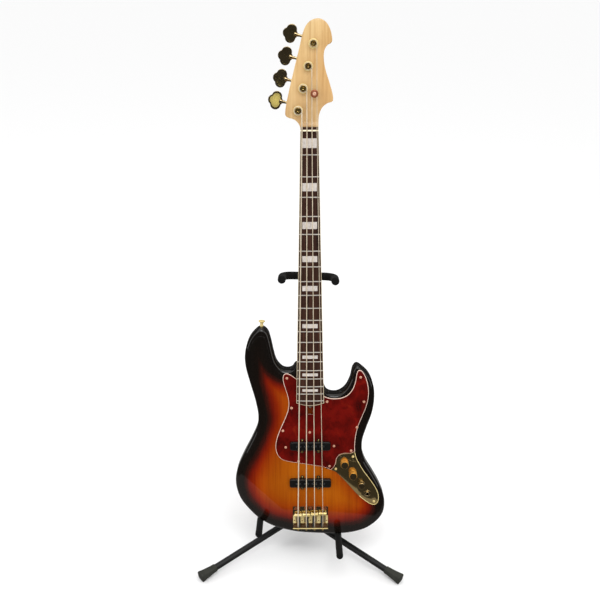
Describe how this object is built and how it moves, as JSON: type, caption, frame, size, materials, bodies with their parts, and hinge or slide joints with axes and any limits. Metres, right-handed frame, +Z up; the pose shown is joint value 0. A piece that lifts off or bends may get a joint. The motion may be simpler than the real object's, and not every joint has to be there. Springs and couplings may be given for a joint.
{
  "type": "guitar on stand",
  "caption": "Electric bass guitar with a sunburst body, leaning in a folding tripod stand with a padded neck yoke and a padded cradle.",
  "frame": {"origin": "centre of the footprint box, on the floor", "axes": "+X to the viewer's right facing the guitar's front, +Y away from the viewer, +Z up"},
  "size_m": [0.4695, 0.4687, 1.1902],
  "materials": {
    "sunburst_lacquer": "gloss sunburst lacquer, amber centre to black edge",
    "maple": "satin clear coat",
    "rosewood": "oiled, satin",
    "bone": "satin",
    "tortoiseshell": "gloss, cream edge ply",
    "gold_metal": "polished plate",
    "black_plastic": "satin moulded",
    "steel": "machined",
    "string_steel": "round wound, bright",
    "black_metal": "semi-gloss powder coat",
    "stand_plastic": "moulded, satin",
    "foam": "closed-cell foam, fine pored skin",
    "foot_rubber": "moulded, dull"
  },
  "bodies": {
    "stand_base": {"hub": "black_metal", "upright_tube": "black_metal", "height_collar": "stand_plastic"},
    "guitar": {"body": "sunburst_lacquer", "neck": "maple", "fretboard": "rosewood", "nut": "bone", "pickguard": "tortoiseshell", "control_plate": "gold_metal", "neck_pickup": "black_plastic", "bridge_pickup": "black_plastic", "bridge_plate": "gold_metal", "output_jack": "gold_metal", "neck_plate": "gold_metal", "truss_rod_nut": "steel", "string_retainer": "gold_metal", "strap_button_upper": "gold_metal", "strap_button_lower": "gold_metal", "saddle_1": "gold_metal", "saddle_2": "gold_metal", "saddle_3": "gold_metal", "saddle_4": "gold_metal", "string_1": "string_steel", "string_2": "string_steel", "string_3": "string_steel", "string_4": "string_steel", "tuner_housing_1": "gold_metal", "tuner_housing_2": "gold_metal", "tuner_housing_3": "gold_metal", "tuner_housing_4": "gold_metal", "pot_1": "steel", "pot_2": "steel", "pot_3": "steel"},
    "neck_rest": {"inner_tube": "black_metal", "yoke": "black_metal", "yoke_pad": "foam"},
    "clamp_knob": {"height_knob": "stand_plastic"},
    "leg_left": {"leg_left": "black_metal", "foot_left": "foot_rubber"},
    "leg_right": {"leg_right": "black_metal", "foot_right": "foot_rubber"},
    "leg_rear": {"leg_rear": "black_metal", "foot_rear": "foot_rubber"},
    "cradle_left": {"cradle_arm_left": "black_metal", "cradle_pad_left": "foam"},
    "cradle_right": {"cradle_arm_right": "black_metal", "cradle_pad_right": "foam"},
    "key_1": {"tuner_key_1": "gold_metal"},
    "post_1": {"tuner_post_1": "gold_metal"},
    "key_2": {"tuner_key_2": "gold_metal"},
    "post_2": {"tuner_post_2": "gold_metal"},
    "key_3": {"tuner_key_3": "gold_metal"},
    "post_3": {"tuner_post_3": "gold_metal"},
    "key_4": {"tuner_key_4": "gold_metal"},
    "post_4": {"tuner_post_4": "gold_metal"},
    "knob_1": {"knob_1": "gold_metal"},
    "knob_2": {"knob_2": "gold_metal"},
    "knob_3": {"knob_3": "gold_metal"}
  },
  "joints": [
    {"name": "guitar_lift", "type": "slide", "parent": "stand_base", "child": "guitar", "axis": [0, -0.8, 0.6], "range_m": [0, 0.3]},
    {"name": "yoke_height", "type": "slide", "parent": "stand_base", "child": "neck_rest", "axis": [0, 0.2079, 0.9781], "range_m": [-0.06, 0.12]},
    {"name": "clamp_turn", "type": "hinge", "parent": "stand_base", "child": "clamp_knob", "pos_m": [-0.0042, 0.01185, 0.46213], "axis": [0, 0.9781, -0.2079], "range_deg": [0, 720]},
    {"name": "leg_left_fold", "type": "hinge", "parent": "stand_base", "child": "leg_left", "pos_m": [-0.02626, -0.06844, 0.051], "axis": [0.6157, -0.788, 0], "range_deg": [0, 75]},
    {"name": "leg_right_fold", "type": "hinge", "parent": "stand_base", "child": "leg_right", "pos_m": [0.01874, -0.06726, 0.051], "axis": [0.5736, 0.8192, 0], "range_deg": [0, 75]},
    {"name": "leg_rear_fold", "type": "hinge", "parent": "stand_base", "child": "leg_rear", "pos_m": [-0.00493, -0.02321, 0.051], "axis": [-0.9997, -0.0262, 0], "range_deg": [0, 75]},
    {"name": "cradle_left_swing", "type": "hinge", "parent": "stand_base", "child": "cradle_left", "pos_m": [-0.0262, -0.07294, 0.08246], "axis": [0, -0.2079, -0.9781], "range_deg": [0, 70]},
    {"name": "cradle_right_swing", "type": "hinge", "parent": "stand_base", "child": "cradle_right", "pos_m": [0.0178, -0.07294, 0.08246], "axis": [0, 0.2079, 0.9781], "range_deg": [0, 70]},
    {"name": "key_1_turn", "type": "hinge", "parent": "guitar", "child": "key_1", "pos_m": [-0.03522, 0.08786, 1.0145], "axis": [-0.9816, 0.0397, 0.1868], "continuous": true},
    {"name": "post_1_turn", "type": "hinge", "parent": "guitar", "child": "post_1", "pos_m": [-0.03741, 0.06252, 1.00835], "axis": [0, -0.9781, 0.2079], "continuous": true},
    {"name": "key_2_turn", "type": "hinge", "parent": "guitar", "child": "key_2", "pos_m": [-0.02602, 0.09728, 1.05885], "axis": [-0.9816, 0.0397, 0.1868], "continuous": true},
    {"name": "post_2_turn", "type": "hinge", "parent": "guitar", "child": "post_2", "pos_m": [-0.02822, 0.07195, 1.0527], "axis": [0, -0.9781, 0.2079], "continuous": true},
    {"name": "key_3_turn", "type": "hinge", "parent": "guitar", "child": "key_3", "pos_m": [-0.01683, 0.10671, 1.10321], "axis": [-0.9816, 0.0397, 0.1868], "continuous": true},
    {"name": "post_3_turn", "type": "hinge", "parent": "guitar", "child": "post_3", "pos_m": [-0.01903, 0.08138, 1.09706], "axis": [0, -0.9781, 0.2079], "continuous": true},
    {"name": "key_4_turn", "type": "hinge", "parent": "guitar", "child": "key_4", "pos_m": [-0.00764, 0.11614, 1.14757], "axis": [-0.9816, 0.0397, 0.1868], "continuous": true},
    {"name": "post_4_turn", "type": "hinge", "parent": "guitar", "child": "post_4", "pos_m": [-0.00983, 0.09081, 1.14142], "axis": [0, -0.9781, 0.2079], "continuous": true},
    {"name": "knob_1_turn", "type": "hinge", "parent": "guitar", "child": "knob_1", "pos_m": [0.09169, -0.09968, 0.24522], "axis": [0, -0.9781, 0.2079], "range_deg": [-140, 140]},
    {"name": "knob_2_turn", "type": "hinge", "parent": "guitar", "child": "knob_2", "pos_m": [0.11213, -0.10515, 0.2195], "axis": [0, -0.9781, 0.2079], "range_deg": [-140, 140]},
    {"name": "knob_3_turn", "type": "hinge", "parent": "guitar", "child": "knob_3", "pos_m": [0.13249, -0.11021, 0.19572], "axis": [0, -0.9781, 0.2079], "range_deg": [-140, 140]}
  ],
  "couplings": [
    {"joint": "post_1_turn", "follows": "key_1_turn", "ratio": 0.05},
    {"joint": "post_2_turn", "follows": "key_2_turn", "ratio": 0.05},
    {"joint": "post_3_turn", "follows": "key_3_turn", "ratio": 0.05},
    {"joint": "post_4_turn", "follows": "key_4_turn", "ratio": 0.05}
  ]
}
